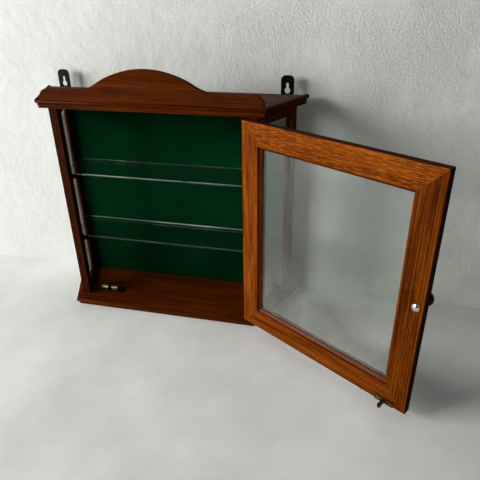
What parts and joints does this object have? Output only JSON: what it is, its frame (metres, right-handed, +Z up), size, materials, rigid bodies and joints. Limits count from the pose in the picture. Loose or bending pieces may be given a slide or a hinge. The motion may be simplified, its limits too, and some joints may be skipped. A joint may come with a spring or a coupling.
{
  "type": "display case",
  "caption": "Small glazed wooden display case with canted sides, glass shelves, baize back, arched pediment, keyhole hangers and a glazed door with a ball catch.",
  "frame": {"origin": "middle of the base's footprint, on its flat underside (z = 0), halfway between the nose of its front moulding and the back", "axes": "+X to the right seen from the front, +Y from the front to the wall, +Z up; the closed door would face -Y"},
  "size_m": [0.5207, 0.2259, 0.334],
  "materials": {
    "case_mahogany": "glossy dark reddish-brown stain and varnish",
    "door_oak": "orange-brown stained oak, satin varnish",
    "knob_dark_wood": "dark glossy varnish",
    "support_dark": "dark stain",
    "clear_glass": "clear polished",
    "green_baize": "matt nap",
    "back_ply": "unfinished plywood",
    "black_steel": "black satin paint",
    "bright_steel": "bright nickel plate",
    "steel_screws": "plain, slightly dull",
    "aged_brass": "aged, dull in the recesses"
  },
  "bodies": {
    "case": {"back_panel": "back_ply", "back_panel_screws": "steel_screws", "base_board": "case_mahogany", "base_screws": "steel_screws", "catch_adjuster_left": "steel_screws", "catch_adjuster_right": "steel_screws", "catch_body": "aged_brass", "catch_screws": "aged_brass", "cornice_front": "case_mahogany", "cornice_left": "case_mahogany", "cornice_right": "case_mahogany", "felt_lining": "green_baize", "front_post_left": "case_mahogany", "front_post_right": "case_mahogany", "hanger_plate_left": "black_steel", "hanger_plate_right": "black_steel", "hanger_screws": "steel_screws", "hinge_case_screws": "aged_brass", "lower_hinge_case_leaf": "aged_brass", "lower_hinge_pin": "steel_screws", "pediment": "case_mahogany", "rear_post_left": "case_mahogany", "rear_post_right": "case_mahogany", "shelf_lower": "clear_glass", "shelf_lower_supports": "support_dark", "shelf_upper": "clear_glass", "shelf_upper_supports": "support_dark", "side_bottom_rail_left": "case_mahogany", "side_bottom_rail_right": "case_mahogany", "side_glass_left": "clear_glass", "side_glass_right": "clear_glass", "side_stop_left": "case_mahogany", "side_stop_right": "case_mahogany", "side_top_rail_left": "case_mahogany", "side_top_rail_right": "case_mahogany", "top_board": "case_mahogany", "upper_hinge_case_leaf": "aged_brass", "upper_hinge_pin": "steel_screws"},
    "door": {"door_bottom_rail": "door_oak", "door_free_stile": "door_oak", "door_glass": "clear_glass", "door_hinge_stile": "door_oak", "door_knob": "knob_dark_wood", "door_top_rail": "door_oak", "glazing_bead_bottom": "door_oak", "glazing_bead_left": "door_oak", "glazing_bead_right": "door_oak", "glazing_bead_top": "door_oak", "hinge_door_screws": "aged_brass", "knob_screw": "bright_steel", "lower_hinge_door_leaf": "aged_brass", "striker_plate": "aged_brass", "striker_screws": "aged_brass", "upper_hinge_door_leaf": "aged_brass"},
    "ball_left": {"catch_ball_left": "steel_screws", "catch_spring_left": "steel_screws"},
    "ball_right": {"catch_ball_right": "steel_screws", "catch_spring_right": "steel_screws"}
  },
  "joints": [
    {"name": "door_hinge", "type": "hinge", "parent": "case", "child": "door", "pos_m": [0.1239, -0.0333, 0], "axis": [0, 0, 1], "range_deg": [-147.9, 32.1]},
    {"name": "ball_left_slide", "type": "slide", "parent": "case", "child": "ball_left", "axis": [-1, 0, 0], "range_m": [0, 0.0009], "stiffness_N_per_m": 1000, "springref_m": -0.0005, "deforming": ["catch_spring_left"]},
    {"name": "ball_right_slide", "type": "slide", "parent": "case", "child": "ball_right", "axis": [1, 0, 0], "range_m": [0, 0.0009], "stiffness_N_per_m": 1000, "springref_m": -0.0005, "deforming": ["catch_spring_right"]}
  ]
}
